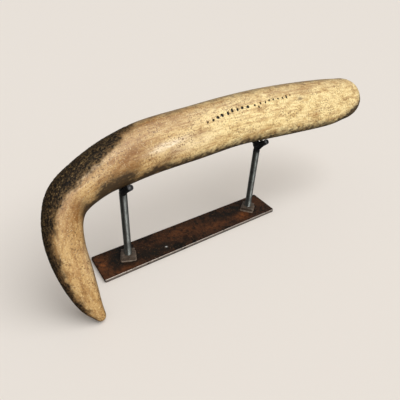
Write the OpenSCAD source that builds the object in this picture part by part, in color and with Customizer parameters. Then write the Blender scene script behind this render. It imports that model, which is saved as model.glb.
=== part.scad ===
// Hooked throwing stick (boomerang) resting on a two-post display stand.
// Millimetres. The origin is the middle of the base plate's underside, +X runs
// along the plate towards the boomerang's round end, +Y away from the viewer, +Z up.

/* [Base plate] */
// Length of the flat bar
base_l = 300; // [280:1:320]
// Width of the flat bar
base_w = 50; // [44:1:60]
// Thickness of the flat bar
base_t = 5; // [4:0.5:8]
// Radius of its upright corners
base_r = 2; // [0.5:0.5:4]

/* [Posts] */
// Thread diameter of both posts
post_d = 10; // [8:0.5:12]
// Height of the posts' upper ends above the surface
post_top = 115; // [110:0.5:116]
// Place of the left post along the plate
left_x = -105; // [-110:1:-100]
// Place of the right post along the plate
right_x = 113; // [108:1:118]

/* [Foot nuts] */
// Side of the square nut
nut_side = 19; // [16:0.5:20]
// Height of the nut
nut_h = 6.5; // [5:0.5:9]
// Reach of the weld bead past the nut's sides
bead_leg = 2; // [1:0.5:3]
// Turn of the left nut about its post
left_turn = -22; // [-45:1:45]
// Turn of the right nut about its post
right_turn = 40; // [-45:1:45]

/* [Yokes] */
// Diameter of the bent rod
rod_d = 4.5; // [3.5:0.5:5]
// Outer diameter of the rubber sleeves
sleeve_d = 7.5; // [6:0.5:7.5]
// Length of the sleeve that stands past the rod's cut end
sleeve_lip = 1.2; // [0.5:0.1:2]
// Radius of the bend, measured at the rod's middle
bend_r = 8; // [6:0.5:9]

/* [Boomerang] */
// Lean back from upright
lean = 29.5; // [29.5:0.5:31]
// Squareness of the oval section, where 2 is a true ellipse
squareness = 2.5; // [2:0.1:2.5]
// Length of the rounded right end
round_end = 58; // [40:1:60]
// Length of the rounded tip of the hook
round_tip = 6; // [3:0.5:6]

/* [Hidden] */
$fn = 48;

// Each yoke: [height where its arms' middle lines cross, front arm's rise,
// back arm's rise, front arm's length, back arm's length]
left_arms = [115.5, 40.5, 36.5, 30.5, 30];
right_arms = [121.2, 43, 37, 23.5, 27];
// Distance from that crossing to where a sleeve starts
sleeve_start = 8.5;
// How much thicker the rod is round its bend
swell = 0.1;
weld_gap = 0.01;

// Height of the middle of the boomerang's long arm plane above the surface
plane_z = 139.7;
// Stations along the boomerang's middle line, from the round end to the tip:
// [along, up the plane, half width, half thickness, twist in degrees]
stations = [
  [295, 22, 35, 15, 6],
  [260, 22.5, 38, 16.5, 6],
  [195, 26, 38.5, 18, 6],
  [130, 29, 37.5, 19, 6],
  [70, 30, 35.5, 19, 5],
  [5, 27, 35, 18.5, 3],
  [-60, 24, 34, 18, 0],
  [-103, 17.5, 31.5, 18, 0],
  [-136, 9, 27.5, 17.5, 0],
  [-168.5, -6.5, 25, 17, 0],
  [-183.5, -28, 22.5, 16.5, 0],
  [-189.5, -58, 21.5, 15.5, 0],
  [-188, -95, 19.5, 14, 0],
  [-183.5, -130, 14, 11, 0],
  [-176, -153, 6.5, 7, 0]
];
ring_sides = 28;
rings_between = 5;
cap_rings = 6;
tip_rings = 4;

// Point on the smooth curve through b and c, with neighbours a and d
function curve(a, b, c, d, t) =
  0.5 * (2 * b + (c - a) * t + (2 * a - 5 * b + 4 * c - d) * t * t
    + (3 * b - a - 3 * c + d) * t * t * t);
last = len(stations) - 1;
function station(i) =
  i < 0 ? 2 * stations[0] - stations[1]
  : i > last ? 2 * stations[last] - stations[last - 1]
  : stations[i];
rows = [
  for (i = [0 : last - 1], k = [0 : rings_between - 1])
    curve(station(i - 1), station(i), station(i + 1), station(i + 2), k / rings_between),
  stations[last]
];
row_last = len(rows) - 1;
function ahead(i) =
  let (d = rows[min(i + 1, row_last)] - rows[max(i - 1, 0)], f = [d.x, d.y]) f / norm(f);
// The round end and the blunt tip close like half an ellipsoid
function capped(i, s, reach) =
  let (r = rows[i], f = ahead(i), q = sin(s), shrink = max(cos(s), 0.02))
  [r.x + f.x * reach * q, r.y + f.y * reach * q, r[2] * shrink, r[3] * shrink, r[4]];
loft = [
  for (k = [cap_rings : -1 : 1]) [capped(0, 90 * k / cap_rings, -round_end), ahead(0)],
  for (i = [0 : row_last]) [rows[i], ahead(i)],
  for (k = [1 : tip_rings]) [capped(row_last, 90 * k / tip_rings, round_tip), ahead(row_last)]
];
function squared(c) = sign(c) * pow(abs(c), 2 / squareness);
function oval_point(r, f, a) =
  let (w = r[2] * squared(cos(a)), t = r[3] * squared(sin(a)),
    across = w * cos(r[4]) + t * sin(r[4]), out = t * cos(r[4]) - w * sin(r[4]))
  [r.x + f.y * across, r.y - f.x * across, out];

// Puts children in the boomerang's leaning plane: x along, y up the plane, z out of it
module in_plane() {
  translate([0, 0, plane_z]) rotate([90 - lean, 0, 0]) children();
}

module boomerang_shape() {
  n = ring_sides;
  points = [for (l = loft, j = [0 : n - 1]) oval_point(l[0], l[1], 360 * j / n)];
  sides = [
    for (i = [0 : len(loft) - 2], j = [0 : n - 1])
      let (k = (j + 1) % n)
      each [[i * n + j, i * n + k, (i + 1) * n + k], [i * n + j, (i + 1) * n + k, (i + 1) * n + j]]
  ];
  ends = [
    [for (j = [n - 1 : -1 : 0]) j],
    [for (j = [0 : n - 1]) (len(loft) - 1) * n + j]
  ];
  in_plane() polyhedron(points, concat(sides, ends), convexity = 4);
}

// Row of small drilled pits: [along, up the plane, diameter]
pits = [
  [20, 36, 2], [29, 37, 3], [37, 39, 3.6], [44.5, 40.5, 3.8], [54.5, 41, 3.6],
  [62.5, 43.5, 4], [71.5, 43, 3.4], [80, 44, 3.6], [90, 43.5, 3.8], [102.5, 43.5, 2.6],
  [109, 40, 2.4], [113.5, 44.5, 2.4], [123, 44, 2.6], [131, 45.5, 2.6], [139, 45.5, 2.6],
  [148.5, 45, 2.4], [157.5, 44.5, 2.6], [165.5, 45, 3.4], [174, 46, 2]
];
// Height of the pits' floors out of the plane; the skin falls away to the right
function pit_floor(along) = 16 - 0.013 * along;

module boomerang() {
  color("burlywood") difference() {
    boomerang_shape();
    in_plane() for (p = pits)
      translate([p.x, p.y, pit_floor(p.x)]) cylinder(h = 8, d = p[2], $fn = 20);
  }
}

// Flat bar with slightly rounded corners
module base_plate() {
  color([0.30, 0.19, 0.13]) linear_extrude(base_t) {
    square([base_l - 2 * base_r, base_w], center = true);
    square([base_l, base_w - 2 * base_r], center = true);
    for (x = [-1, 1], y = [-1, 1])
      translate([x * (base_l / 2 - base_r), y * (base_w / 2 - base_r)]) circle(base_r);
  }
}

// Square prism on end that narrows by the given amount on every side
module square_prism(side, h, narrow = 0) {
  rotate([0, 0, 45])
    cylinder(h = h, d1 = side / cos(45), d2 = (side - 2 * narrow) / cos(45), $fn = 4);
}

// Square nut with its top corners chamfered, threaded over the post
module foot_nut(x, turn) {
  corner = nut_side / 2 / cos(45);
  color([0.27, 0.22, 0.20]) translate([x, 0, base_t]) rotate([0, 0, turn]) difference() {
    intersection() {
      square_prism(nut_side, nut_h);
      rotate_extrude() polygon([[0, 0], [corner + 1, 0], [corner + 1, nut_h - 1.4],
        [nut_side / 2 + 1, nut_h], [0, nut_h]]);
    }
    translate([0, 0, -1]) cylinder(h = nut_h + 2, d = post_d);
  }
}

// Bead of weld that holds the nut on the plate
module foot_weld(x, turn) {
  color([0.35, 0.24, 0.18]) translate([x, 0, base_t]) rotate([0, 0, turn]) difference() {
    square_prism(nut_side + 2 * bead_leg, bead_leg, bead_leg * 0.8);
    translate([0, 0, -1]) square_prism(nut_side, nut_h + 2);
  }
}

// Length of threaded rod, screwed down to the plate through its nut
module post(x) {
  chamfer = 0.8;
  color("silver") translate([x, 0, base_t]) rotate_extrude()
    polygon([[0, 0], [post_d / 2, 0], [post_d / 2, post_top - base_t - chamfer],
      [post_d / 2 - chamfer, post_top - base_t], [0, post_top - base_t]]);
}

// Puts children along one arm: side is -1 for the front arm and 1 for the back
module on_arm(x, arms, side) {
  rise = side < 0 ? arms[1] : arms[2];
  translate([x, 0, arms[0]]) rotate([side < 0 ? 90 - rise : rise - 90, 0, 0]) children();
}

// One rod bent to an uneven V, with both arms in the upright plane across the plate
module yoke_rod(x, arms) {
  half = (arms[1] + arms[2]) / 2;
  tangent = bend_r * tan(half);
  tip = (arms[2] - arms[1]) / 2;
  // The arms start a little inside the bend, which is swollen by the hammer
  start = tangent - 0.2;
  on_arm(x, arms, -1) translate([0, 0, start]) cylinder(h = arms[3] - start, d = rod_d);
  on_arm(x, arms, 1) translate([0, 0, start]) cylinder(h = arms[4] - start, d = rod_d);
  translate([x, 0, arms[0]]) rotate([tip, 0, 0]) translate([0, 0, bend_r / cos(half)])
    rotate([0, 90, 0]) rotate([0, 0, -half]) rotate_extrude(angle = 2 * half)
      translate([bend_r, 0]) circle(d = rod_d + swell);
}

module yoke(x, arms) {
  color([0.08, 0.08, 0.08]) yoke_rod(x, arms);
}

// Lump of weld between the post's end and the yoke's bend
module yoke_weld(x, arms) {
  low = bend_r / cos((arms[1] + arms[2]) / 2) - bend_r;
  top = arms[0] + low + 0.5 - post_top;
  color([0.12, 0.12, 0.12]) difference() {
    translate([x, 0, post_top + weld_gap]) rotate_extrude()
      polygon([[0, 0], [post_d / 2 - 0.8, 0], [post_d / 2 - 0.4, 1],
        [rod_d / 2 + 1.4, top], [0, top]]);
    yoke_rod(x, arms);
  }
}

// Rubber tube pushed over one arm, open at its outer end
module sleeve(x, arms, side) {
  arm = side < 0 ? arms[3] : arms[4];
  color([0.13, 0.13, 0.14]) on_arm(x, arms, side) difference() {
    translate([0, 0, sleeve_start]) cylinder(h = arm + sleeve_lip - sleeve_start, d = sleeve_d);
    translate([0, 0, sleeve_start - 1]) cylinder(h = arm + sleeve_lip, d = rod_d);
  }
}

base_plate();
foot_nut(left_x, left_turn);  // left_foot_nut
foot_nut(right_x, right_turn);  // right_foot_nut
foot_weld(left_x, left_turn);  // left_foot_weld
foot_weld(right_x, right_turn);  // right_foot_weld
post(left_x);  // left_post
post(right_x);  // right_post
yoke(left_x, left_arms);  // left_yoke
yoke(right_x, right_arms);  // right_yoke
yoke_weld(left_x, left_arms);  // left_yoke_weld
yoke_weld(right_x, right_arms);  // right_yoke_weld
sleeve(left_x, left_arms, -1);  // left_front_sleeve
sleeve(left_x, left_arms, 1);  // left_back_sleeve
sleeve(right_x, right_arms, -1);  // right_front_sleeve
sleeve(right_x, right_arms, 1);  // right_back_sleeve
boomerang();
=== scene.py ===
import math
import bmesh
import bpy
import numpy as np
from mathutils import Euler, Matrix, Vector, noise


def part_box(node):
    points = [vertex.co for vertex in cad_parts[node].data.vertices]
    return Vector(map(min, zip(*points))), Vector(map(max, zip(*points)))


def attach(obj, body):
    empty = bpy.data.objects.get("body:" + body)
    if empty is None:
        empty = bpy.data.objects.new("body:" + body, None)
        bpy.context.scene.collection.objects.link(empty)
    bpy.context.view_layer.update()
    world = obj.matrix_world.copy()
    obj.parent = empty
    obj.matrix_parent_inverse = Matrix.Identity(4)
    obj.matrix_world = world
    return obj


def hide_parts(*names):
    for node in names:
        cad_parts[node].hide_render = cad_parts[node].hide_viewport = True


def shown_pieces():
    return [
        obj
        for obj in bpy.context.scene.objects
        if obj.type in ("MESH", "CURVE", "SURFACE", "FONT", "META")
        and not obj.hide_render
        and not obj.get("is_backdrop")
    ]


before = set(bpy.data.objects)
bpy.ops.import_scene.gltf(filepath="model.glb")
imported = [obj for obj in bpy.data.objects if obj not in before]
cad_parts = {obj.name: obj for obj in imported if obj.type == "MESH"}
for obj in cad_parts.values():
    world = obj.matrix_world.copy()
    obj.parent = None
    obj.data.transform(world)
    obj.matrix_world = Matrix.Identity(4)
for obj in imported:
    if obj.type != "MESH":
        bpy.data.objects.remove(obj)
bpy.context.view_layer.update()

mm = 0.001
noise.seed_set(7)


# Tools for the bench

def deselect():
    if bpy.context.mode != "OBJECT":
        bpy.ops.object.mode_set(mode="OBJECT")
    bpy.ops.object.select_all(action="DESELECT")


def takeUp(*pieces):
    deselect()
    for piece in pieces:
        piece.select_set(True)
    bpy.context.view_layer.objects.active = pieces[0]


def openEdit(piece, kind="FACE"):
    takeUp(piece)
    bpy.ops.object.mode_set(mode="EDIT")
    bpy.ops.mesh.select_mode(type=kind)
    bpy.ops.mesh.select_all(action="DESELECT")


def closeEdit():
    bpy.ops.object.mode_set(mode="OBJECT")


def pick(piece, part, wanted):
    sheet = bmesh.from_edit_mesh(piece.data)
    for one in getattr(sheet, part):
        one.select_set(bool(wanted(one)))
    sheet.select_flush_mode()
    bmesh.update_edit_mesh(piece.data)


def settle(piece):
    takeUp(piece)
    bpy.ops.object.transform_apply(location=True, rotation=True, scale=True)


def useModifier(piece, kind, **values):
    takeUp(piece)
    layer = piece.modifiers.new(kind.title(), kind)
    for name, value in values.items():
        setattr(layer, name, value)
    bpy.ops.object.modifier_apply(modifier=layer.name)


def facingOut(piece):
    openEdit(piece)
    bpy.ops.mesh.select_all(action="SELECT")
    bpy.ops.mesh.remove_doubles(threshold=0.00001)
    bpy.ops.mesh.normals_make_consistent(inside=False)
    closeEdit()


def copyNode(node, name):
    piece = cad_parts[node].copy()
    piece.data = piece.data.copy()
    piece.name = piece.data.name = name
    piece.parent = None
    for key in list(piece.keys()):
        del piece[key]
    bpy.context.scene.collection.objects.link(piece)
    piece.data.materials.clear()
    openEdit(piece)
    bpy.ops.mesh.select_all(action="SELECT")
    bpy.ops.mesh.remove_doubles(threshold=0.00001)
    closeEdit()
    return piece


def named(name):
    piece = bpy.context.object
    piece.name = piece.data.name = name
    return piece


def joined(name, pieces):
    takeUp(*pieces)
    bpy.ops.object.join()
    return named(name)


def smoothShade(piece, angle=None):
    takeUp(piece)
    if angle is None:
        bpy.ops.object.shade_smooth()
    else:
        bpy.ops.object.shade_smooth_by_angle(angle=math.radians(angle))


def dress(piece, material, body, slot, *nodes):
    piece.data.materials.clear()
    piece.data.materials.append(material)
    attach(piece, body)
    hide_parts(*nodes)


def readPoints(piece, what="vertices", key="co"):
    source = getattr(piece.data, what)
    flat = np.empty(len(source) * 3)
    source.foreach_get(key, flat)
    return flat.reshape(-1, 3)


def writePoints(piece, points):
    piece.data.vertices.foreach_set("co", points.ravel())
    piece.data.update()


def storeLayer(piece, name, kind, key, values):
    layer = piece.data.attributes.new(name, kind, "POINT")
    layer.data.foreach_set(key, values.astype(np.float32).ravel())


def ease(low, high, value):
    part = np.clip((value - low) / (high - low), 0, 1)
    return part * part * (3 - 2 * part)


def spot(x, y, centreX, centreY, reachX, reachY, turn=0):
    c, s = math.cos(math.radians(turn)), math.sin(math.radians(turn))
    u = (x - centreX) * c + (y - centreY) * s
    v = (y - centreY) * c - (x - centreX) * s
    return np.exp(-(u / reachX) ** 2 - (v / reachY) ** 2)


def grainNoise(points, offset=0.0):
    return np.array([noise.noise(Vector((p[0] + offset, p[1], p[2]))) for p in points])


# Tools for finishes

def tone(red, green, blue):
    def linear(v):
        v /= 255
        return v / 12.92 if v <= 0.04045 else ((v + 0.055) / 1.055) ** 2.4
    return (linear(red), linear(green), linear(blue), 1)


def put(tree, kind, inputs=None, **settings):
    made = tree.nodes.new(kind)
    for name, value in settings.items():
        setattr(made, name, value)
    for name, value in (inputs or {}).items():
        if isinstance(value, bpy.types.NodeSocket):
            tree.links.new(value, made.inputs[name])
        else:
            made.inputs[name].default_value = value
    return made


def calc(tree, operation, first, second=0.0, third=0.0, clamp=False):
    return put(tree, "ShaderNodeMath", {0: first, 1: second, 2: third},
               operation=operation, use_clamp=clamp).outputs[0]


def mixed(tree, amount, first, second, how="MIX"):
    made = put(tree, "ShaderNodeMix", {0: amount, 6: first, 7: second},
               data_type="RGBA", blend_type=how)
    return made.outputs[2]


def ramp(tree, source, *stops):
    made = put(tree, "ShaderNodeValToRGB", {"Fac": source})
    line = made.color_ramp
    while len(line.elements) < len(stops):
        line.elements.new(0.5)
    for element, (place, value) in zip(line.elements, stops):
        element.position = place
        element.color = value if isinstance(value, tuple) else (value, value, value, 1)
    return made.outputs["Color"]


def cloud(tree, where, scale, detail=3.0, rough=0.55, stretch=None):
    if stretch:
        where = put(tree, "ShaderNodeMapping", {"Vector": where, "Scale": stretch}).outputs[0]
    return put(tree, "ShaderNodeTexNoise", {"Vector": where, "Scale": scale,
               "Detail": detail, "Roughness": rough}).outputs["Fac"]


def newGroup(name, inputs, outputs):
    tree = bpy.data.node_groups.new(name, "ShaderNodeTree")
    for label, kind, value in inputs:
        socket = tree.interface.new_socket(name=label, in_out="INPUT", socket_type=kind)
        if value is not None:
            socket.default_value = value
    for label, kind in outputs:
        tree.interface.new_socket(name=label, in_out="OUTPUT", socket_type=kind)
    return tree, tree.nodes.new("NodeGroupInput").outputs, tree.nodes.new("NodeGroupOutput")


def placed(tree, group, **inputs):
    made = tree.nodes.new("ShaderNodeGroup")
    made.node_tree = group
    for name, value in inputs.items():
        if isinstance(value, bpy.types.NodeSocket):
            tree.links.new(value, made.inputs[name])
        else:
            made.inputs[name].default_value = value
    return made.outputs


def newFinish(name, **fixed):
    material = bpy.data.materials.new(name)
    material.use_nodes = True
    tree = material.node_tree
    tree.nodes.clear()
    shader = put(tree, "ShaderNodeBsdfPrincipled", {k.replace("_", " "): v for k, v in fixed.items()})
    sink = tree.nodes.new("ShaderNodeOutputMaterial")
    tree.links.new(shader.outputs[0], sink.inputs[0])
    return material, tree, shader.inputs


def makeSpeckle():
    tree, given, result = newGroup("speckle", [("Where", "NodeSocketVector", None),
        ("Fineness", "NodeSocketFloat", 900.0), ("Cover", "NodeSocketFloat", 0.5),
        ("Softness", "NodeSocketFloat", 0.08)], [("Mask", "NodeSocketFloat")])
    fine = put(tree, "ShaderNodeTexNoise", {"Vector": given["Where"], "Scale": given["Fineness"],
               "Detail": 3.0, "Roughness": 0.6}).outputs["Fac"]
    high = calc(tree, "ADD", given["Cover"], given["Softness"])
    mask = put(tree, "ShaderNodeMapRange", {"Value": fine, "From Min": given["Cover"], "From Max": high},
               interpolation_type="SMOOTHSTEP").outputs["Result"]
    tree.links.new(mask, result.inputs["Mask"])
    return tree


def makeStreaks():
    tree, given, result = newGroup("streaks", [("Grain", "NodeSocketVector", None),
        ("Fineness", "NodeSocketFloat", 400.0), ("Cover", "NodeSocketFloat", 0.52)],
        [("Mask", "NodeSocketFloat"), ("Height", "NodeSocketFloat")])
    long = put(tree, "ShaderNodeMapping", {"Vector": given["Grain"], "Scale": (0.07, 1, 1)}).outputs[0]
    fibre = put(tree, "ShaderNodeTexNoise", {"Vector": long, "Scale": given["Fineness"],
                "Detail": 4.0, "Roughness": 0.6}).outputs["Fac"]
    high = calc(tree, "ADD", given["Cover"], 0.16)
    mask = put(tree, "ShaderNodeMapRange", {"Value": fibre, "From Min": given["Cover"], "From Max": high},
               interpolation_type="SMOOTHSTEP").outputs["Result"]
    tree.links.new(mask, result.inputs["Mask"])
    tree.links.new(fibre, result.inputs["Height"])
    return tree


def makeMottle():
    tree, given, result = newGroup("mottle", [("Where", "NodeSocketVector", None),
        ("Size", "NodeSocketFloat", 60.0), ("Low", "NodeSocketFloat", 0.4),
        ("High", "NodeSocketFloat", 0.6)], [("Mask", "NodeSocketFloat")])
    wide = put(tree, "ShaderNodeTexNoise", {"Vector": given["Where"], "Scale": given["Size"],
               "Detail": 6.0, "Roughness": 0.62}).outputs["Fac"]
    mask = put(tree, "ShaderNodeMapRange", {"Value": wide, "From Min": given["Low"],
               "From Max": given["High"]}, interpolation_type="SMOOTHSTEP").outputs["Result"]
    tree.links.new(mask, result.inputs["Mask"])
    return tree


def makeEdgeWear():
    tree, given, result = newGroup("edgeWear", [("Where", "NodeSocketVector", None),
        ("Start", "NodeSocketFloat", 0.52), ("Full", "NodeSocketFloat", 0.6)],
        [("Mask", "NodeSocketFloat")])
    sharp = tree.nodes.new("ShaderNodeNewGeometry").outputs["Pointiness"]
    rough = put(tree, "ShaderNodeTexNoise", {"Vector": given["Where"], "Scale": 350.0,
                "Detail": 3.0}).outputs["Fac"]
    lifted = calc(tree, "MULTIPLY_ADD", rough, 0.06, calc(tree, "SUBTRACT", sharp, 0.03))
    mask = put(tree, "ShaderNodeMapRange", {"Value": lifted, "From Min": given["Start"],
               "From Max": given["Full"]}).outputs["Result"]
    tree.links.new(mask, result.inputs["Mask"])
    return tree


speckle, streaks, mottle, edgeWear = makeSpeckle(), makeStreaks(), makeMottle(), makeEdgeWear()


# Camera and light

view = {"place": (-0.2499, -0.3579, 0.3846), "azimuth": -36.34, "elevation": 36.24,
        "roll": 3.6, "lens": 33.71}
studio = {"sky": 0.42, "below": 0.02, "floorTone": (238, 231, 223),
          "overhead": {"power": 1.9, "spread": 58, "side": 12, "height": 62},
          "key": {"power": 2.1, "spread": 24, "side": 54, "height": 42}}


def setCamera():
    camera = bpy.data.objects.new("camera", bpy.data.cameras.new("camera"))
    bpy.context.scene.collection.objects.link(camera)
    camera.data.lens, camera.data.sensor_width = view["lens"], 36
    camera.data.clip_start = 0.01
    turn = Euler((math.radians(90 - view["elevation"]), 0, math.radians(view["azimuth"]))).to_matrix()
    turn = turn @ Matrix.Rotation(math.radians(view["roll"]), 3, "Z")
    camera.matrix_world = Matrix.Translation(view["place"]) @ turn.to_4x4()
    bpy.context.scene.camera = camera


def addLamp(name):
    # The side is counted from the camera's right hand round towards the camera
    lamp = studio[name]
    side, height, facing = (math.radians(v) for v in (lamp["side"], lamp["height"], view["azimuth"]))
    right = Vector((math.cos(facing), math.sin(facing), 0))
    near = Vector((math.sin(facing), -math.cos(facing), 0))
    towards = (right * math.cos(side) + near * math.sin(side)) * math.cos(height)
    towards.z = math.sin(height)
    sun = bpy.data.objects.new(name, bpy.data.lights.new(name, "SUN"))
    sun.data.energy, sun.data.angle = lamp["power"], math.radians(lamp["spread"])
    sun.rotation_euler = towards.to_track_quat("Z", "Y").to_euler()
    bpy.context.scene.collection.objects.link(sun)
    return sun


def setStudio():
    scene = bpy.context.scene
    scene.view_settings.view_transform = "Standard"
    world = bpy.data.worlds.new("studio")
    scene.world = world
    world.use_nodes = True
    tree = world.node_tree
    glow = tree.nodes["Background"].inputs
    glow["Color"].default_value = (1, 0.99, 0.975, 1)
    height = put(tree, "ShaderNodeSeparateXYZ", {0: put(tree, "ShaderNodeTexCoord").outputs["Generated"]})
    level = put(tree, "ShaderNodeMapRange", {"Value": height.outputs["Z"], "From Min": -0.06,
                "From Max": 0.1, "To Min": studio["below"], "To Max": studio["sky"]})
    tree.links.new(level.outputs["Result"], glow["Strength"])
    overhead = addLamp("overhead")
    key = addLamp("key")

    deselect()
    bpy.ops.mesh.primitive_plane_add(size=12)
    floor = named("floor")
    paper, _, _ = newFinish("paper", Base_Color=tone(*studio["floorTone"]), Roughness=0.9,
                            Specular_IOR_Level=0.1)
    floor.data.materials.append(paper)
    floor.visible_glossy = False
    floor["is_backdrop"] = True
    return key


setCamera()
keyLamp = setStudio()
print("camera and light set")


# Boomerang

wood = {"voxel": 1.65, "smoothing": 26, "regained": 0.3, "barkDepth": 0.8, "barkCell": 2.6,
        "pitDepth": 2.4, "pitSpread": 1.22, "planeHeight": 139.7, "lean": 29.5,
        "frontFrom": -4, "lineLength": 700,
        "browns": (320, 530), "barkSmooths": (575, 620), "barkDarkens": (560, 620)}

# Middle line from the round end to the tip: along, up the plane, half width
middleLine = [(360, 22, 30), (295, 22, 35), (260, 22.5, 38), (195, 26, 38.5), (130, 29, 37.5),
              (70, 30, 35.5), (5, 27, 35), (-60, 24, 34), (-103, 17.5, 31.5), (-136, 9, 27.5),
              (-168.5, -6.5, 25), (-183.5, -28, 22.5), (-189.5, -58, 21.5), (-188, -95, 19.5),
              (-183.5, -130, 14), (-176, -153, 6.5), (-172, -166, 5)]

# Where the bark stops on the front face, from its start to the tip
barkEdge = [(-70, 60), (-84, 51), (-100, 41), (-131, 21), (-166, 3), (-192, -19), (-202, -45),
            (-204, -72), (-201, -105), (-195, -132), (-183, -160)]

# Drilled pits: along, up the plane, diameter
pits = [(20, 36, 2), (29, 37, 3), (37, 39, 3.6), (44.5, 40.5, 3.8), (54.5, 41, 3.6),
        (62.5, 43.5, 4), (71.5, 43, 3.4), (80, 44, 3.6), (90, 43.5, 3.8), (102.5, 43.5, 2.6),
        (109, 40, 2.4), (113.5, 44.5, 2.4), (123, 44, 2.6), (131, 45.5, 2.6), (139, 45.5, 2.6),
        (148.5, 45, 2.4), (157.5, 44.5, 2.6), (165.5, 45, 3.4), (174, 46, 2)]


def toPlane(points):
    c, s = math.cos(math.radians(wood["lean"])), math.sin(math.radians(wood["lean"]))
    x, y, z = points.T / mm
    z = z - wood["planeHeight"]
    return np.stack([x, s * y + c * z, -c * y + s * z], 1)


def planeWay(along, up, out):
    c, s = math.cos(math.radians(wood["lean"])), math.sin(math.radians(wood["lean"]))
    return Vector((along, s * up - c * out, c * up + s * out))


def followGrain(flat):
    # Distance along the middle line, distance towards the outer edge, and the half width there
    line = np.array(middleLine, float)
    steps = np.linspace(0, len(line) - 1, 8 * (len(line) - 1) + 1)
    line = np.stack([np.interp(steps, range(len(line)), line[:, k]) for k in range(3)], 1)
    ahead = np.gradient(line[:, :2], axis=0)
    ahead /= np.linalg.norm(ahead, axis=1)[:, None]
    outward = np.stack([ahead[:, 1], -ahead[:, 0]], 1)
    run = np.concatenate([[0], np.cumsum(np.linalg.norm(np.diff(line[:, :2], axis=0), axis=1))])
    nearest = np.concatenate([
        np.argmin(((part[:, None, :2] - line[None, :, :2]) ** 2).sum(2), 1)
        for part in np.array_split(flat, max(1, len(flat) // 4000))])
    away = flat[:, :2] - line[nearest, :2]
    return (run[nearest] + (away * ahead[nearest]).sum(1),
            (away * outward[nearest]).sum(1), line[nearest, 2])


def barkAmount(flat, run, across):
    edge = np.array([(x, y, 0) for x, y in barkEdge], float)
    edgeRun, edgeAcross, _ = followGrain(edge)
    limit = np.interp(run, edgeRun, edgeAcross, left=99, right=edgeAcross[-1])
    ragged = 4 * grainNoise(flat / 11) + 2 * grainNoise(flat / 3, 50)
    return ease(-8, 7, across + ragged - limit)


def pitAmount(flat):
    deep = np.zeros(len(flat))
    for number, (along, up, size) in enumerate(pits):
        dx, dy = flat[:, 0] - along, flat[:, 1] - up
        angle = np.arctan2(dy, dx)
        wobble = 0.12 * np.sin(2 * angle + number) + 0.07 * np.sin(3 * angle + 2 * number)
        reach = wood["pitSpread"] * size / 2 * (1 + wobble)
        deep = np.maximum(deep, 1 - ease(0.55, 1.12, np.hypot(dx, dy) / reach))
    return deep * (flat[:, 2] > 0)


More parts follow.
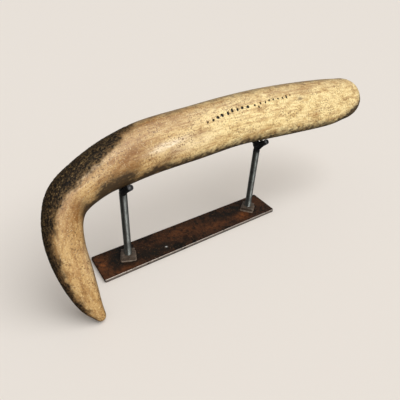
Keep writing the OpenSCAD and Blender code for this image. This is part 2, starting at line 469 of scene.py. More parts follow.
def makeBoomerang():
    piece = copyNode("boomerang", "boomerang_wood")
    useModifier(piece, "REMESH", mode="VOXEL", voxel_size=wood["voxel"] * mm)
    useModifier(piece, "SMOOTH", factor=0.5, iterations=wood["smoothing"])
    useModifier(piece, "DISPLACE", strength=wood["regained"] * mm, mid_level=0)

    # Finer mesh where the bark and the pits are
    def refine(cuts, wanted):
        openEdit(piece)
        sheet = bmesh.from_edit_mesh(piece.data)
        sheet.faces.ensure_lookup_table()
        centres = toPlane(np.array([face.calc_center_median() for face in sheet.faces]))
        for face, chosen in zip(sheet.faces, wanted(centres)):
            face.select_set(bool(chosen))
        bmesh.update_edit_mesh(piece.data)
        bpy.ops.mesh.subdivide(number_cuts=cuts)
        closeEdit()

    def nearPit(flat):
        near = np.zeros(len(flat), bool)
        for along, up, size in pits:
            near |= np.hypot(flat[:, 0] - along, flat[:, 1] - up) < size / 2 + 1.6
        return near & (flat[:, 2] > 0)

    def nearBark(flat):
        run, across, half = followGrain(flat)
        return barkAmount(flat, run, across + 1) > 0.2

    refine(1, nearBark)
    refine(3, nearPit)

    points = readPoints(piece)
    flat = toPlane(points)
    normals = readPoints(piece, "vertex_normals", "vector")
    run, across, half = followGrain(flat)
    bark = barkAmount(flat, run, across)
    grain = np.stack([run, across, flat[:, 2]], 1)

    # Long shallow tool marks, cracked bark plates, then the pits
    push = (-0.1 * np.abs(grainNoise(grain / (40, 9, 9)))
            - 0.12 * np.abs(grainNoise(grain / (12, 2.4, 2.4), 20)))
    cells = grain / (wood["barkCell"] * 1.7, wood["barkCell"], wood["barkCell"])
    plates = np.zeros(len(points))
    for index in np.nonzero(bark > 0.01)[0]:
        spread = Vector(cells[index]) + 0.5 * noise.noise_vector(Vector(cells[index]) * 1.3)
        gaps = noise.voronoi(spread)[0]
        crack = 1 - min(1, (gaps[1] - gaps[0]) / 0.35)
        plates[index] = crack + 0.9 * abs(noise.noise(Vector(cells[index]) * 0.45))
    rugged = ease(0.35, 0.75, bark) * (1 - 0.75 * ease(*wood["barkSmooths"], run))
    push -= wood["barkDepth"] * rugged * plates * 0.62
    points += normals * (push * mm)[:, None]
    pit = pitAmount(flat)
    points -= np.array(planeWay(0, 0, 1)) * (pit * wood["pitDepth"] * mm)[:, None]
    writePoints(piece, points)

    # Marks painted on the wood: stains, soot and pale scratches, with painted shade along the lower and top
    # edges, round the ends and in the pits, and a painted highlight streak
    along, up, out = flat.T
    front = out > wood["frontFrom"]
    red = (1.0 * spot(along, up, -42, 7, 15, 5, 25) + 0.5 * spot(along, up, -64, 2, 14, 5, 20)
           + 1.3 * spot(along, up, -98, 13, 31, 14, 32) + 0.5 * spot(along, up, -26, 46, 26, 7, 0)
           + 0.55 * spot(along, up, 0, 24, 22, 3, 3) + 0.4 * spot(along, up, 87, 7, 12, 7, 0)
           + 1.1 * spot(along, up, -171, -22, 12, 17, 0) + 0.5 * spot(along, up, -178, -50, 12, 18, 0)
           + 0.35 * spot(along, up, 205, 46, 22, 8, 0)
           + 0.3 * spot(along, up, -184, -120, 10, 18, 0) + 0.35 * spot(along, up, -178, -150, 8, 12, 0))
    # Soot patches on the lower front, and painted shade on the lower rim of the round end
    sootAndEndShade = (0.7 * spot(along, up, -68, -6, 20, 6, 20) + 1.1 * spot(along, up, -108, -4, 18, 7, 15)
             + 0.9 * spot(along, up, -134, -11, 16, 8, 35) + 0.8 * spot(along, up, -158, -26, 9, 12, 0)
             + 0.5 * spot(along, up, 192, 38, 5, 3, 0) + 1.4 * spot(along, up, 322, -4, 28, 8, 14)
             + 1.1 * spot(along, up, 346, 6, 9, 13, 0) + 0.7 * spot(along, up, -162, -66, 5, 18, 0))
    # Pale scratches and a painted highlight streak across the front
    sheenAndScratches = (1.2 * spot(along, up, -46, 21, 24, 4, 8) + 0.4 * spot(along, up, -10, 15, 40, 8, 4)
            + 0.3 * spot(along, up, -168, -84, 10, 22, 0))
    # Painted shade along the lower edge, where the surface turns under, partly darker wood there
    lowerEdgeShade = ease(0.62, 1.0, -across / half + 0.12 * grainNoise(flat / 5))
    lowerEdgeShade = lowerEdgeShade * (0.8 + 0.2 * ease(250, 330, run)) * (1 - 0.6 * ease(500, 570, run))
    # Browner towards the top edge
    topBrown = 0.6 * ease(0.35, 0.9, across / half + 0.2 * grainNoise(flat / 9))
    # Painted shade along the top edge
    topEdgeShade = 0.4 * ease(0.8, 1.0, across / half + 0.12 * grainNoise(flat / 7))
    # Painted shade round the rims of both ends, where they round off
    endShade = 0.7 * ease(30, 4, run) + 0.5 * ease(22, 2, wood["lineLength"] - run)
    dark = np.clip(sootAndEndShade * front + 1.0 * lowerEdgeShade + topEdgeShade + endShade * ease(0.2, 0.9, np.abs(across) / half), 0, 1)
    red = np.clip(red * front + topBrown, 0, 1)
    paint = np.stack([bark, dark, red, np.clip(sheenAndScratches, 0, 1) * front], 1)
    storeLayer(piece, "paint", "FLOAT_COLOR", "color", paint)
    storeLayer(piece, "grain", "FLOAT_VECTOR", "vector", grain * mm)
    # Painted shade in the pits
    storeLayer(piece, "hollow", "FLOAT", "value", ease(0.02, 0.36, pit))
    smoothShade(piece)
    return piece


def woodFinish():
    material, tree, shader = newFinish("agedWood", Specular_IOR_Level=0.1, Coat_Roughness=0.38)
    paint = put(tree, "ShaderNodeAttribute", attribute_name="paint")
    grain = put(tree, "ShaderNodeAttribute", attribute_name="grain").outputs["Vector"]
    hollow = put(tree, "ShaderNodeAttribute", attribute_name="hollow").outputs["Fac"]
    channels = put(tree, "ShaderNodeSeparateColor", {"Color": paint.outputs["Color"]}).outputs
    bark, dark, red, sheenAndScratches = channels[0], channels[1], channels[2], paint.outputs["Alpha"]
    where = put(tree, "ShaderNodeTexCoord").outputs["Object"]

    wide = cloud(tree, grain, 95, 6, 0.68, (0.4, 1, 1))
    colour = ramp(tree, wide, (0.33, tone(144, 111, 64)), (0.43, tone(196, 169, 114)),
                  (0.54, tone(222, 201, 146)), (0.68, tone(176, 144, 90)))
    run = put(tree, "ShaderNodeSeparateXYZ", {0: grain}).outputs["X"]
    first, last = wood["browns"]
    hook = put(tree, "ShaderNodeMapRange", {"Value": calc(tree, "MULTIPLY_ADD", wide, 0.09, run),
               "From Min": first * mm, "From Max": last * mm},
               interpolation_type="SMOOTHSTEP").outputs["Result"]
    colour = mixed(tree, hook, colour, (0.67, 0.55, 0.45, 1), "MULTIPLY")
    fibres = placed(tree, streaks, Grain=grain, Fineness=380, Cover=0.5)
    colour = mixed(tree, calc(tree, "MULTIPLY", fibres["Mask"], 0.55), colour, tone(140, 98, 52))
    bold = placed(tree, streaks, Grain=grain, Fineness=130, Cover=0.55)["Mask"]
    colour = mixed(tree, calc(tree, "MULTIPLY", bold, 0.4), colour, tone(150, 106, 58))
    blond = placed(tree, streaks, Grain=grain, Fineness=240, Cover=0.56)["Mask"]
    colour = mixed(tree, calc(tree, "MULTIPLY", blond, 0.3), colour, tone(224, 206, 164))

    uneven = cloud(tree, grain, 260, 4, 0.6, (0.3, 1, 1))
    stainsAndBrownTop = calc(tree, "MULTIPLY", red, calc(tree, "MULTIPLY_ADD", uneven, 1.8, -0.15), clamp=True)
    colour = mixed(tree, stainsAndBrownTop, colour, tone(122, 80, 31))
    # Painted highlight streak, partly pale scratches
    worn = cloud(tree, grain, 300, 4, 0.6, (0.2, 1, 1))
    sheenAndScratchMask = calc(tree, "MULTIPLY", sheenAndScratches, calc(tree, "MULTIPLY_ADD", worn, 2.2, -0.45), clamp=True)
    colour = mixed(tree, calc(tree, "MULTIPLY", sheenAndScratchMask, 0.8), colour, tone(232, 218, 194))

    patchy = placed(tree, mottle, Where=where, Size=45, Low=0.44, High=0.62)["Mask"]
    dots = placed(tree, speckle, Where=where, Fineness=560, Cover=0.53, Softness=0.08)["Mask"]
    dots = calc(tree, "MULTIPLY", dots, calc(tree, "MULTIPLY_ADD", patchy, 0.55, 0.36))
    colour = mixed(tree, dots, colour, tone(92, 62, 30))
    coarse = placed(tree, speckle, Where=grain, Fineness=300, Cover=0.57, Softness=0.07)["Mask"]
    colour = mixed(tree, calc(tree, "MULTIPLY", coarse, 0.5), colour, tone(112, 76, 38))
    light = placed(tree, speckle, Where=grain, Fineness=520, Cover=0.58, Softness=0.08)["Mask"]
    colour = mixed(tree, calc(tree, "MULTIPLY", light, 0.32), colour, tone(222, 202, 158))

    # Soot patches mixed with the painted shade of the edges and ends
    sootShadeNoise = cloud(tree, grain, 330, 5, 0.7, (0.4, 1, 1))
    sootAndShade = calc(tree, "MULTIPLY", dark, calc(tree, "MULTIPLY_ADD", sootShadeNoise, 3.4, -0.5), clamp=True)
    colour = mixed(tree, calc(tree, "MULTIPLY", sootAndShade, 0.97), colour, tone(54, 41, 26))

    flakes = put(tree, "ShaderNodeTexVoronoi", {"Vector": put(tree, "ShaderNodeMapping",
                 {"Vector": grain, "Scale": (0.6, 1, 1)}).outputs[0], "Scale": 420.0, "Randomness": 1.0},
                 feature="F1")
    crust = cloud(tree, grain, 540, 5, 0.72, (0.75, 1, 1))
    barkColour = ramp(tree, crust, (0.4, tone(9, 6, 3)), (0.49, tone(27, 20, 11)),
                      (0.57, tone(66, 52, 31)), (0.66, tone(142, 119, 80)))
    barkColour = mixed(tree, 0.4, barkColour, ramp(tree, flakes.outputs["Distance"],
                       (0.2, tone(190, 170, 130)), (0.7, tone(20, 13, 8))), "MULTIPLY")
    halo = put(tree, "ShaderNodeMapRange",
               {"Value": bark, "From Min": 0.02, "From Max": 0.6}).outputs["Result"]
    colour = mixed(tree, calc(tree, "MULTIPLY", halo, 0.85), colour, tone(84, 62, 38))
    torn = calc(tree, "MULTIPLY_ADD", cloud(tree, grain, 480, 5, 0.75, (0.6, 1, 1)), 2.6, -1.3)
    barkMask = put(tree, "ShaderNodeMapRange", {"Value": calc(tree, "ADD", bark, torn),
                   "From Min": 0.32, "From Max": 0.95}).outputs["Result"]
    barkMask = calc(tree, "MULTIPLY", barkMask, calc(tree, "GREATER_THAN", bark, 0.01))
    first, last = wood["barkDarkens"]
    smooth = put(tree, "ShaderNodeMapRange", {"Value": run, "From Min": first * mm, "From Max": last * mm},
                 interpolation_type="SMOOTHSTEP").outputs["Result"]
    barkColour = mixed(tree, calc(tree, "MULTIPLY", smooth, 0.7), barkColour, tone(24, 16, 9))
    colour = mixed(tree, barkMask, colour, barkColour)
    # Painted shade in the pits
    colour = mixed(tree, hollow, colour, tone(15, 9, 5))

    tree.links.new(colour, shader["Base Color"])
    rough = calc(tree, "MULTIPLY_ADD", fibres["Height"], 0.25, 0.36)
    tree.links.new(calc(tree, "MULTIPLY_ADD", barkMask, 0.3, rough), shader["Roughness"])
    tree.links.new(calc(tree, "MULTIPLY_ADD", halo, -0.6, 0.64), shader["Coat Weight"])
    height = calc(tree, "MULTIPLY_ADD", cloud(tree, where, 900, 3, 0.6), 0.5,
                  calc(tree, "MULTIPLY", fibres["Height"], 0.6))
    height = calc(tree, "MULTIPLY_ADD", calc(tree, "MULTIPLY", crust, barkMask), 5.0, height)
    bump = put(tree, "ShaderNodeBump", {"Height": height, "Strength": 0.35, "Distance": 0.0006})
    tree.links.new(bump.outputs[0], shader["Normal"])
    return material


dress(makeBoomerang(), woodFinish(), "boomerang", "carved_wood", "boomerang")
print("boomerang carved")


# Base plate

plate = {"edge": 0.7, "grid": 1.4, "pitDepth": 0.12}


def makePlate():
    low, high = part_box("base_plate")
    size, middle = high - low, (high + low) / 2
    deselect()
    bpy.ops.mesh.primitive_cube_add(size=1, location=middle)
    piece = named("plate_bar")
    piece.scale = size
    settle(piece)
    openEdit(piece, "EDGE")
    pick(piece, "edges", lambda e: abs(e.verts[0].co.z - e.verts[1].co.z) > 1 * mm)
    bpy.ops.mesh.bevel(offset=2 * mm, segments=4)
    bpy.ops.mesh.select_mode(type="FACE")
    bpy.ops.mesh.select_all(action="DESELECT")
    pick(piece, "faces", lambda f: abs(f.normal.z) > 0.9)
    bpy.ops.mesh.bevel(offset=plate["edge"] * mm, segments=3)
    closeEdit()

    # Cut into a fine grid, so that scale can pit it
    openEdit(piece)
    count = int(size.x / mm / plate["grid"])
    for number in range(1, count):
        bpy.ops.mesh.select_all(action="SELECT")
        bpy.ops.mesh.bisect(plane_co=(low.x + size.x * number / count, 0, 0), plane_no=(1, 0, 0))
    count = int(size.y / mm / plate["grid"])
    for number in range(1, count):
        bpy.ops.mesh.select_all(action="SELECT")
        bpy.ops.mesh.bisect(plane_co=(0, low.y + size.y * number / count, 0), plane_no=(0, 1, 0))
    closeEdit()
    points = readPoints(piece)
    normals = readPoints(piece, "vertex_normals", "vector")
    flat = points / mm
    eaten = np.clip(grainNoise(flat / 6) + 0.6 * grainNoise(flat / 2.2, 30), 0, 1)
    points -= normals * (eaten * plate["pitDepth"] * (normals[:, 2] > -0.5) * mm)[:, None]
    writePoints(piece, points)

    x, y, z = flat.T
    rust = (0.9 * spot(x, y, -142, 2, 10, 16) + 0.85 * spot(x, y, 94, -10, 14, 9, 20)
            + 0.6 * spot(x, y, -118, -20, 26, 5) + 0.5 * spot(x, y, -20, 6, 46, 12, 4)
            + 0.5 * spot(x, y, 40, -8, 30, 8) + 0.3 * spot(x, y, 138, 8, 9, 14))
    # Black patches on the plate, and painted shadows of the nuts on the plate to their left
    black = (0.95 * spot(x, y, -128, -4, 11, 12) + 1.0 * spot(x, y, -62, -8, 30, 12, 10)
             + 1.2 * spot(x, y, -119, 5, 7, 10) + 0.7 * spot(x, y, -104, 2, 20, 18)
             + 1.2 * spot(x, y, 98, 8, 8, 9) + 0.5 * spot(x, y, 20, 16, 30, 8)
             + 0.6 * spot(x, y, 60, 4, 22, 9) + 0.5 * spot(x, y, -40, -18, 20, 5))
    lipTop = (z > 4.2) & (z < 4.99) & (y < -24)
    fleck = spot(x, y, -50, -11, 1.1, 0.8)
    paint = np.stack([np.clip(rust, 0, 1), np.clip(black, 0, 1), lipTop * 1.0, np.clip(fleck, 0, 1)], 1)
    storeLayer(piece, "paint", "FLOAT_COLOR", "color", paint)
    smoothShade(piece, 35)
    return piece


def rustFinish():
    material, tree, shader = newFinish("rustPatina", Specular_IOR_Level=0.1)
    paint = put(tree, "ShaderNodeAttribute", attribute_name="paint")
    channels = put(tree, "ShaderNodeSeparateColor", {"Color": paint.outputs["Color"]}).outputs
    rust, black, lip, fleck = channels[0], channels[1], channels[2], paint.outputs["Alpha"]
    where = put(tree, "ShaderNodeTexCoord").outputs["Object"]
    wide = cloud(tree, where, 85, 7, 0.7)
    colour = ramp(tree, wide, (0.38, tone(5, 4, 3)), (0.46, tone(16, 11, 7)),
                  (0.53, tone(52, 31, 18)), (0.6, tone(14, 11, 8)), (0.7, tone(36, 27, 18)))
    blotch = cloud(tree, where, 160, 5, 0.65)
    orange = calc(tree, "MULTIPLY", rust, calc(tree, "MULTIPLY_ADD", blotch, 3.2, -1.0), clamp=True)
    colour = mixed(tree, orange, colour, tone(108, 62, 32))
    # Black patches and painted nut shadows
    sootShadowNoise = cloud(tree, where, 120, 5, 0.65)
    sootAndNutShadow = calc(tree, "MULTIPLY", black, calc(tree, "MULTIPLY_ADD", sootShadowNoise, 3.6, -0.9), clamp=True)
    colour = mixed(tree, calc(tree, "MULTIPLY", sootAndNutShadow, 0.92), colour, tone(15, 14, 11))
    dots = placed(tree, speckle, Where=where, Fineness=480, Cover=0.6, Softness=0.06)["Mask"]
    colour = mixed(tree, calc(tree, "MULTIPLY", dots, 0.5), colour, tone(96, 68, 44))
    darks = placed(tree, speckle, Where=where, Fineness=330, Cover=0.58, Softness=0.08)["Mask"]
    colour = mixed(tree, calc(tree, "MULTIPLY", darks, 0.6), colour, tone(24, 18, 13))
    bare = calc(tree, "MULTIPLY", lip, placed(tree, mottle, Where=where, Size=140, Low=0.3, High=0.5)["Mask"])
    colour = mixed(tree, bare, colour, tone(170, 160, 150))
    colour = mixed(tree, fleck, colour, tone(225, 222, 215))
    tree.links.new(colour, shader["Base Color"])
    tree.links.new(calc(tree, "MULTIPLY", bare, 0.85), shader["Metallic"])
    tree.links.new(calc(tree, "MULTIPLY_ADD", wide, 0.4, 0.28), shader["Roughness"])
    bump = put(tree, "ShaderNodeBump", {"Height": cloud(tree, where, 420, 5, 0.65), "Strength": 0.4,
               "Distance": 0.0004})
    tree.links.new(bump.outputs[0], shader["Normal"])
    return material


dress(makePlate(), rustFinish(), "stand", "rusted_steel", "base_plate")
print("plate forged")


# Posts

thread = {"pitch": 1.5, "depth": 0.55, "steps": 28}


def makePost(node, name):
    low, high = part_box(node)
    middle, radius = (low + high) / 2, (high.x - low.x) / 2
    pitch = thread["pitch"] * mm
    turns = int((high.z - low.z) / pitch) + 3
    deselect()
    bpy.ops.mesh.primitive_plane_add(size=pitch, location=(radius - pitch / 2, 0, pitch / 2),
                                     rotation=(math.radians(90), 0, 0))
    piece = named(name)
    settle(piece)
    openEdit(piece, "VERT")
    pick(piece, "verts", lambda v: v.co.x < radius - pitch / 2)
    bpy.ops.mesh.delete(type="VERT")
    bpy.ops.mesh.select_all(action="SELECT")
    bpy.ops.mesh.subdivide(number_cuts=4)
    pick(piece, "verts", lambda v: 0.3 * pitch < v.co.z < 0.7 * pitch)
    bpy.ops.transform.translate(value=(-thread["depth"] * mm, 0, 0))
    pick(piece, "verts", lambda v: 0.15 * pitch < v.co.z < 0.3 * pitch or 0.7 * pitch < v.co.z < 0.85 * pitch)
    bpy.ops.transform.translate(value=(-0.18 * thread["depth"] * mm, 0, 0))
    closeEdit()
    useModifier(piece, "SCREW", angle=math.tau, screw_offset=pitch, iterations=turns,
                steps=thread["steps"], render_steps=thread["steps"], use_merge_vertices=True,
                merge_threshold=0.00001)
    points = readPoints(piece)
    points += (middle.x, middle.y, low.z - 1.5 * pitch)
    writePoints(piece, points)
    for place, way in ((low.z, -1), (high.z, 1)):
        openEdit(piece)
        bpy.ops.mesh.select_all(action="SELECT")
        bpy.ops.mesh.bisect(plane_co=(0, 0, place), plane_no=(0, 0, way), use_fill=True, clear_outer=True)
        closeEdit()
    facingOut(piece)
    smoothShade(piece, 50)
    return piece


def rodFinish():
    material, tree, shader = newFinish("zincRod", Metallic=1.0)
    where = put(tree, "ShaderNodeTexCoord").outputs["Object"]
    dull = placed(tree, mottle, Where=where, Size=120, Low=0.4, High=0.66)["Mask"]
    colour = mixed(tree, dull, tone(104, 106, 102), tone(82, 83, 80))
    dark = placed(tree, speckle, Where=where, Fineness=700, Cover=0.6, Softness=0.08)["Mask"]
    colour = mixed(tree, calc(tree, "MULTIPLY", dark, 0.35), colour, tone(52, 48, 42))
    tree.links.new(colour, shader["Base Color"])
    tree.links.new(calc(tree, "MULTIPLY_ADD", dull, 0.1, 0.36), shader["Roughness"])
    bump = put(tree, "ShaderNodeBump", {"Height": cloud(tree, where, 900, 3, 0.6), "Strength": 0.12,
               "Distance": 0.0003})
    tree.links.new(bump.outputs[0], shader["Normal"])
    return material


zincRod = rodFinish()
for side in ("left", "right"):
    dress(makePost(side + "_post", side + "_threaded_rod"), zincRod, "stand", "zinc_rod", side + "_post")
print("posts threaded")


# Foot nuts and their welds

nut = {"side": 19, "chamfer": 1.4, "edge": 0.4, "bore": 10.2, "turn": {"left": -22, "right": 40}}
bead = {"thick": 1.3, "reach": 0.3, "ripples": 40, "lump": 0.3}


def makeNut(side, name):
    low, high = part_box(side + "_foot_nut")
    middle, tall = (low + high) / 2, high.z - low.z
    half, turn = nut["side"] * mm / 2, math.radians(nut["turn"][side])
    corner = half / math.cos(math.radians(45))
    deselect()
    bpy.ops.mesh.primitive_cube_add(size=1, location=middle, rotation=(0, 0, turn))
    piece = named(name)
    piece.scale = (half * 2, half * 2, tall)
    settle(piece)
    # The turned chamfer is the nut cut by a wide cone
    slope = (corner - half) / (nut["chamfer"] * mm)
    bpy.ops.mesh.primitive_cone_add(vertices=72, radius1=half + 1 * mm + slope * tall, radius2=half + 1 * mm,
                                    depth=tall, location=middle)
    cone = named("chamfer_cutter")
    bpy.ops.mesh.primitive_cylinder_add(vertices=40, radius=nut["bore"] * mm / 2, depth=tall * 2,
                                        location=middle)
    drill = named("bore_cutter")
    useModifier(piece, "BOOLEAN", operation="INTERSECT", object=cone, solver="EXACT")
    useModifier(piece, "BOOLEAN", operation="DIFFERENCE", object=drill, solver="EXACT")
    for cutter in (cone, drill):
        bpy.data.objects.remove(cutter)
    useModifier(piece, "BEVEL", width=nut["edge"] * mm, segments=3, limit_method="ANGLE",
                angle_limit=math.radians(25))
    facingOut(piece)
    smoothShade(piece, 32)
    return piece


def makeBead(side, name, phase):
    low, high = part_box(side + "_foot_weld")
    middle = (low + high) / 2
    thick, half = bead["thick"] * mm, nut["side"] * mm / 2
    turn = math.radians(nut["turn"][side])
    deselect()
    bpy.ops.mesh.primitive_torus_add(major_radius=half, minor_radius=thick, major_segments=240,
                                     minor_segments=16, location=(middle.x, middle.y, low.z))
    piece = named(name)
    settle(piece)
    points = readPoints(piece)
    around = np.arctan2(points[:, 1] - middle.y, points[:, 0] - middle.x)
    spin = np.stack([np.cos(around), np.sin(around), 0 * around], 1)
    # The bead runs round the nut's four sides, and piles up in even ripples
    quarter = (around - turn + math.pi / 4) % (math.pi / 2) - math.pi / 4
    ring = half / np.cos(np.clip(np.abs(quarter), 0, math.radians(41)))
    saw = (around * bead["ripples"] / math.tau + phase) % 1
    wander = grainNoise(spin * 2.2 + (phase, 0, 0))
    swell = (0.85 + 0.22 * saw + bead["lump"] * wander
             + 0.25 * ease(0.2, 1, np.cos(around - math.radians(200))))
    core = np.array([middle.x, middle.y, low.z]) + spin * half
    points = core + (points - core) * swell[:, None] + spin * (ring - half + bead["reach"] * mm)[:, None]
    writePoints(piece, points)
    openEdit(piece)
    bpy.ops.mesh.select_all(action="SELECT")
    bpy.ops.mesh.bisect(plane_co=(0, 0, low.z), plane_no=(0, 0, -1), use_fill=True, clear_outer=True)
    closeEdit()
    facingOut(piece)
    smoothShade(piece, 45)
    return piece


def ironFinish(name, deep, mid, high, metal):
    material, tree, shader = newFinish(name, Specular_IOR_Level=0.4)
    where = put(tree, "ShaderNodeTexCoord").outputs["Object"]
    wide = cloud(tree, where, 210, 5, 0.65)
    colour = ramp(tree, wide, (0.35, tone(*deep)), (0.52, tone(*mid)), (0.7, tone(*deep)))
    worn = placed(tree, edgeWear, Where=where, Start=0.53, Full=0.62)["Mask"]
    colour = mixed(tree, calc(tree, "MULTIPLY", worn, 0.75), colour, tone(*high))
    dust = placed(tree, speckle, Where=where, Fineness=520, Cover=0.58, Softness=0.08)["Mask"]
    colour = mixed(tree, calc(tree, "MULTIPLY", dust, 0.4), colour, tone(112, 78, 54))
    tree.links.new(colour, shader["Base Color"])
    tree.links.new(calc(tree, "MULTIPLY", worn, metal), shader["Metallic"])
    tree.links.new(calc(tree, "MULTIPLY_ADD", wide, 0.4, 0.3), shader["Roughness"])
    bump = put(tree, "ShaderNodeBump", {"Height": cloud(tree, where, 700, 4, 0.65), "Strength": 0.35,
               "Distance": 0.0003})
    tree.links.new(bump.outputs[0], shader["Normal"])
    return material


nutIron = ironFinish("nutIron", (34, 27, 21), (72, 60, 49), (150, 140, 128), 0.7)
weldIron = ironFinish("weldIron", (48, 38, 30), (92, 78, 64), (140, 126, 110), 0.5)
for number, side in enumerate(("left", "right")):
    dress(makeNut(side, side + "_square_nut"), nutIron, "stand", "rusted_steel", side + "_foot_nut")
    dress(makeBead(side, side + "_weld_bead", number * 0.37), weldIron, "stand",
          "weld_metal", side + "_foot_weld")
print("nuts welded on")


# Yokes, their welds and the rubber sleeves

yoke = {"rod": 4.5, "bend": 8, "sleeveStart": 8.5, "sleeve": 7.5, "lip": 1.2,
        "left": {"crossing": 115.5, "frontRise": 40.5, "backRise": 36.5, "front": 30.5, "back": 30},
        "right": {"crossing": 121.2, "frontRise": 43, "backRise": 37, "front": 23.5, "back": 27},
        "web": {"left": {"collar": 0.8, "front": 5, "back": 8, "fill": 1.2},
                "right": {"collar": 1.5, "front": 13, "back": 8, "fill": 2.6}}}


def armWay(arms, front):
    rise = math.radians(arms["frontRise"] if front else arms["backRise"])
    return Vector((0, (-1 if front else 1) * math.cos(rise), math.sin(rise)))


def aimed(way):
    return way.to_track_quat("Z", "X").to_euler()


def makeYoke(side, name):
    arms = yoke[side]
    low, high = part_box(side + "_yoke")
    apex = Vector(((low.x + high.x) / 2, 0, arms["crossing"] * mm))
    half = math.radians(arms["frontRise"] + arms["backRise"]) / 2
    reach = yoke["bend"] * math.tan(half)
    front, back = armWay(arms, True), armWay(arms, False)
    deselect()
    bpy.ops.mesh.primitive_circle_add(vertices=20, radius=yoke["rod"] / 2 * mm,
                                      location=apex + front * arms["front"] * mm, rotation=aimed(front))
    piece = named(name)
    settle(piece)
    openEdit(piece, "EDGE")
    bpy.ops.mesh.select_all(action="SELECT")
    bpy.ops.mesh.extrude_region_move(TRANSFORM_OT_translate={"value": -front * (arms["front"] - reach) * mm})
    tip = (front + back).normalized()
    hub = apex + tip * yoke["bend"] / math.cos(half) * mm
    start = apex + front * reach * mm - hub
    end = apex + back * reach * mm - hub
    axis = start.cross(end).normalized()
    bpy.ops.mesh.spin(steps=10, angle=2 * half, center=hub, axis=axis)
    bpy.ops.mesh.extrude_region_move(TRANSFORM_OT_translate={"value": back * (arms["back"] - reach) * mm})
    bpy.ops.mesh.select_all(action="SELECT")
    bpy.ops.mesh.fill_holes(sides=0)
    closeEdit()
    useModifier(piece, "BEVEL", width=0.4 * mm, segments=2, limit_method="ANGLE",
                angle_limit=math.radians(50))
    facingOut(piece)
    smoothShade(piece, 40)
    return piece


def makeSleeve(side, front, name):
    arms = yoke[side]
    low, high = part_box(side + ("_front_sleeve" if front else "_back_sleeve"))
    way = armWay(arms, front)
    apex = Vector(((low.x + high.x) / 2, 0, arms["crossing"] * mm))
    long = arms["front" if front else "back"] + yoke["lip"] - yoke["sleeveStart"]
    middle = apex + way * (yoke["sleeveStart"] + long / 2) * mm
    deselect()
    bpy.ops.mesh.primitive_cylinder_add(vertices=36, radius=yoke["sleeve"] / 2 * mm, depth=long * mm,
                                        end_fill_type="NOTHING", location=middle, rotation=aimed(way))
    piece = named(name)
    settle(piece)
    openEdit(piece)
    for number in range(1, 12):
        bpy.ops.mesh.select_all(action="SELECT")
        bpy.ops.mesh.bisect(plane_co=apex + way * (yoke["sleeveStart"] + long * number / 12) * mm,
                            plane_no=way)
    closeEdit()
    useModifier(piece, "SOLIDIFY", thickness=(yoke["sleeve"] - yoke["rod"]) / 2 * mm, offset=-1)
    useModifier(piece, "BEVEL", width=0.45 * mm, segments=3, limit_method="ANGLE",
                angle_limit=math.radians(50))
    points = readPoints(piece)
    push = grainNoise(points / mm / 3.2, 12)
    normals = readPoints(piece, "vertex_normals", "vector")
    points -= normals * (np.abs(push) * 0.14 * mm)[:, None]
    writePoints(piece, points)
    smoothShade(piece, 50)
    return piece


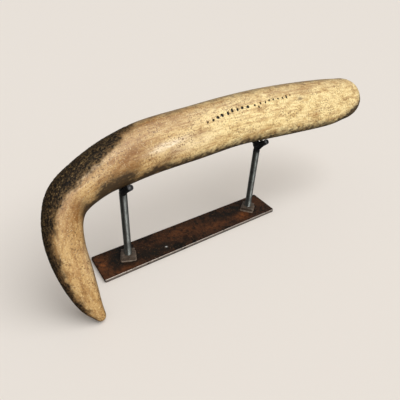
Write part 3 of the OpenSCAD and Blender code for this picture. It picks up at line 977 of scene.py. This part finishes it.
def makeYokeWeld(side, name):
    arms = yoke[side]
    low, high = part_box(side + "_post")
    centre = Vector(((low.x + high.x) / 2, 0, 0))
    top, apex = high.z, arms["crossing"] * mm
    lumps = []

    def lump(place, radius, stretch):
        deselect()
        bpy.ops.mesh.primitive_uv_sphere_add(segments=24, ring_count=14, radius=radius * mm, location=place)
        made = named("lump")
        made.scale = stretch
        settle(made)
        lumps.append(made)

    front, back = armWay(arms, True), armWay(arms, False)
    start = centre + Vector((0, 0, apex))
    web = yoke["web"][side]
    deselect()
    bpy.ops.mesh.primitive_cone_add(vertices=32, radius1=5.1 * mm, radius2=4.2 * mm,
                                    depth=apex - top + web["collar"] * mm,
                                    location=centre + Vector((0, 0, (apex + top - web["collar"] * mm) / 2)))
    lumps.append(named("collar"))
    settle(lumps[0])
    for step in range(5):
        part = step / 4
        lump(start + front * (1 + web["front"] * part) * mm - Vector((0, 0, (2.8 - 1.6 * part) * mm)),
             4.2 - 1.1 * part, (0.95, 1, 1))
        lump(start + back * (1 + web["back"] * part) * mm - Vector((0, 0, (2.6 - 1.5 * part) * mm)),
             4.0 - 1.1 * part, (0.95, 1, 1))
    for step in range(3):
        lump(start + Vector((0, 0, (1.2 + web["fill"] * step) * mm)), 3.0 + 0.25 * step,
             (0.8, 1.25 + 0.3 * step, 1))
    piece = joined(name, lumps)
    useModifier(piece, "REMESH", mode="VOXEL", voxel_size=0.42 * mm)
    useModifier(piece, "SMOOTH", factor=0.5, iterations=7)
    points = readPoints(piece)
    normals = readPoints(piece, "vertex_normals", "vector")
    blobs = grainNoise(points / mm / 2.1, 5) + 0.5 * grainNoise(points / mm / 0.9, 9)
    points += normals * (blobs * 0.45 * mm)[:, None]
    writePoints(piece, points)
    smoothShade(piece)
    return piece


def blackFinish(name, base, sheen, rough, grit):
    material, tree, shader = newFinish(name, Specular_IOR_Level=sheen)
    where = put(tree, "ShaderNodeTexCoord").outputs["Object"]
    wide = placed(tree, mottle, Where=where, Size=300, Low=0.4, High=0.65)["Mask"]
    colour = mixed(tree, wide, tone(*base), tone(*(v * 1.7 + 4 for v in base)))
    worn = placed(tree, edgeWear, Where=where, Start=0.56, Full=0.68)["Mask"]
    colour = mixed(tree, calc(tree, "MULTIPLY", worn, 0.35), colour, tone(84, 80, 76))
    tree.links.new(colour, shader["Base Color"])
    tree.links.new(calc(tree, "MULTIPLY_ADD", wide, 0.2, rough), shader["Roughness"])
    bump = put(tree, "ShaderNodeBump", {"Height": cloud(tree, where, grit, 4, 0.65), "Strength": 0.3,
               "Distance": 0.0003})
    tree.links.new(bump.outputs[0], shader["Normal"])
    return material


blackPaint = blackFinish("blackPaint", (13, 12, 12), 0.45, 0.34, 900)
blackRubber = blackFinish("blackRubber", (16, 16, 17), 0.35, 0.5, 1400)
for side in ("left", "right"):
    dress(makeYoke(side, side + "_bent_rod"), blackPaint, "stand", "black_paint", side + "_yoke")
    dress(makeYokeWeld(side, side + "_yoke_bead"), blackPaint, "stand", "black_paint", side + "_yoke_weld")
    for front, end in ((True, "front"), (False, "back")):
        dress(makeSleeve(side, front, side + "_" + end + "_tube"), blackRubber, "stand", "black_rubber",
              side + "_" + end + "_sleeve")
print("yokes bent and sleeved")


# The key lamp lights the object and leaves the floor even
lit = bpy.data.collections.new("litPieces")
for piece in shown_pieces():
    lit.objects.link(piece)
keyLamp.light_linking.receiver_collection = lit
